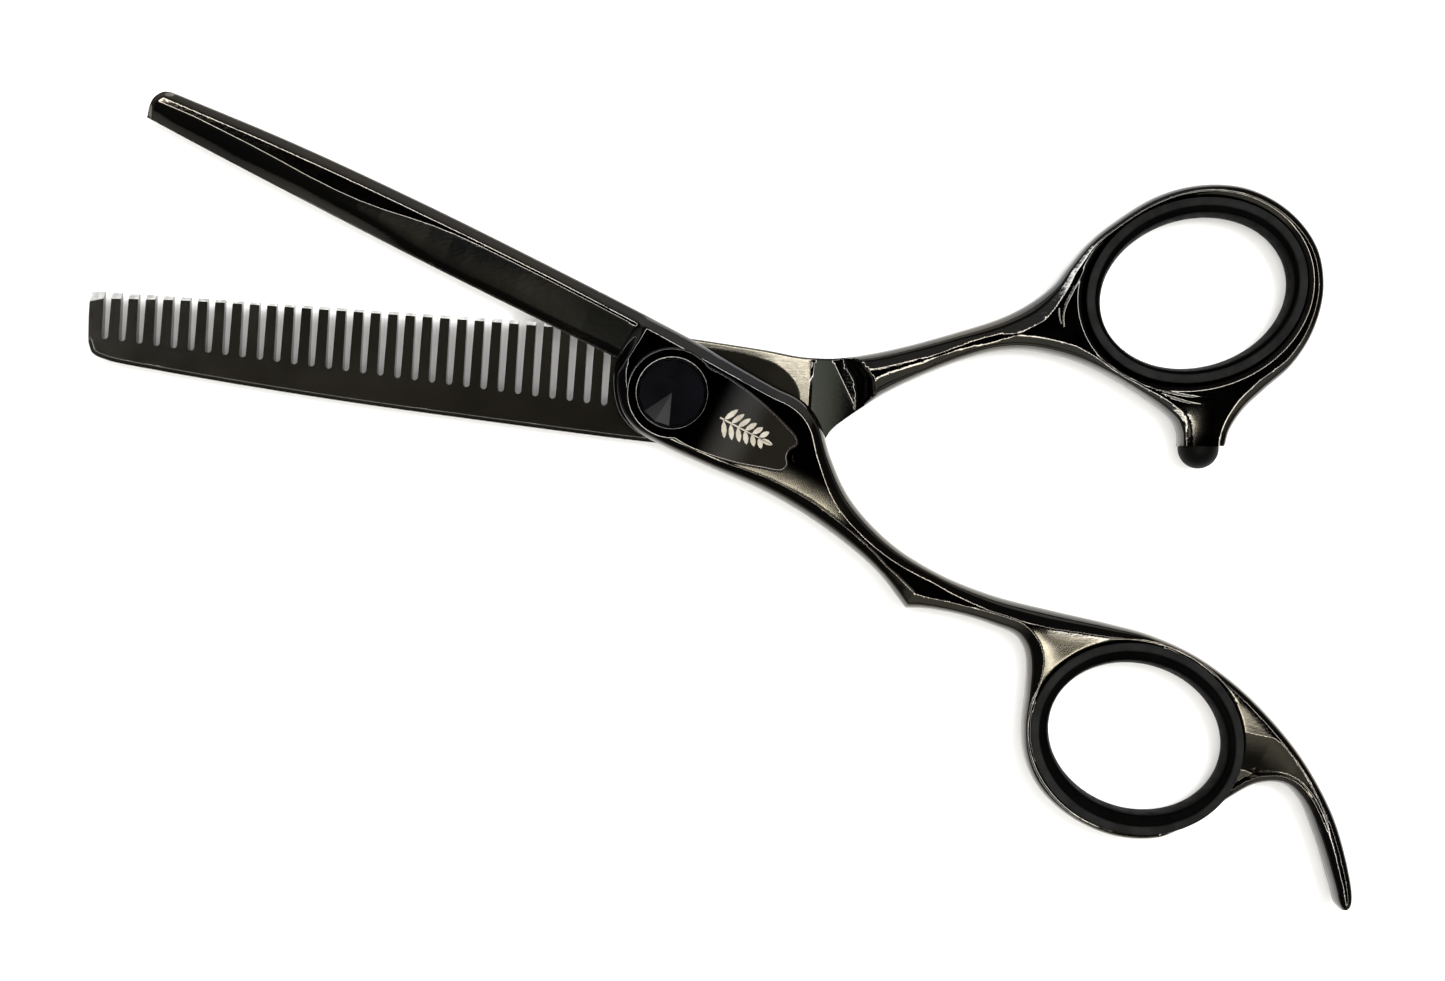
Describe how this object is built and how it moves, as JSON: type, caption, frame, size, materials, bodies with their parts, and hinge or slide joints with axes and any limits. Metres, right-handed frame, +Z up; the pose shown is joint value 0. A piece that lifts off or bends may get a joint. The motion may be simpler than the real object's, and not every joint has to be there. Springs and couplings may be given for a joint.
{
  "type": "thinning shears",
  "caption": "Hairdressing thinning shears: toothed and plain blades on a dial pivot, offset finger rings with inserts, fixed finger rest and rubber bumper.",
  "frame": {"origin": "on the pivot axis, at the rear face of the pivot stud, in the plane that the shears lie on", "axes": "+Z up along the pivot axis towards the dial, +X towards the finger rings, +Y towards the thumb ring, with the shears half open"},
  "size_m": [0.1487, 0.0964, 0.0074],
  "materials": {
    "black_coated_steel": "polished steel with a black vapour-deposited coating, mirror gloss",
    "bare_steel": "bare ground steel",
    "black_rubber": "moulded black rubber, satin",
    "black_glass": "black cut stone, flat polished facets",
    "bronze": "turned bearing bronze",
    "nylon": "natural nylon"
  },
  "bodies": {
    "thumb_half": {"toothed_half": "black_coated_steel", "thumb_ring_insert": "black_rubber", "rubber_bumper": "black_rubber", "pivot_stud": "black_coated_steel", "lower_race": "bare_steel"},
    "finger_half": {"plain_half": "black_coated_steel", "finger_ring_insert": "black_rubber", "pivot_bush": "bronze", "tension_plate": "black_coated_steel", "locator_pin": "black_coated_steel", "upper_race": "bare_steel", "friction_washer": "nylon"},
    "dial": {"tension_dial": "black_coated_steel", "dial_jewel": "black_glass", "spring_washer": "bare_steel"},
    "bearing_cage": {"ball_cage": "bronze", "bearing_ball_1": "bare_steel", "bearing_ball_2": "bare_steel", "bearing_ball_3": "bare_steel", "bearing_ball_4": "bare_steel", "bearing_ball_5": "bare_steel", "bearing_ball_6": "bare_steel", "bearing_ball_7": "bare_steel", "bearing_ball_8": "bare_steel"}
  },
  "joints": [
    {"name": "blade_pivot", "type": "hinge", "parent": "thumb_half", "child": "finger_half", "pos_m": [0, 0, 0.003], "axis": [0, 0, 1], "range_deg": [-120, 18.5]},
    {"name": "dial_turn", "type": "hinge", "parent": "finger_half", "child": "dial", "pos_m": [0, 0, 0.0065], "axis": [0, 0, 1], "range_deg": [-180, 180]},
    {"name": "cage_turn", "type": "hinge", "parent": "thumb_half", "child": "bearing_cage", "pos_m": [0, 0, 0.0032], "axis": [0, 0, 1], "range_deg": [-60, 9.25]}
  ],
  "couplings": [
    {"joint": "cage_turn", "follows": "blade_pivot", "ratio": 0.5}
  ]
}
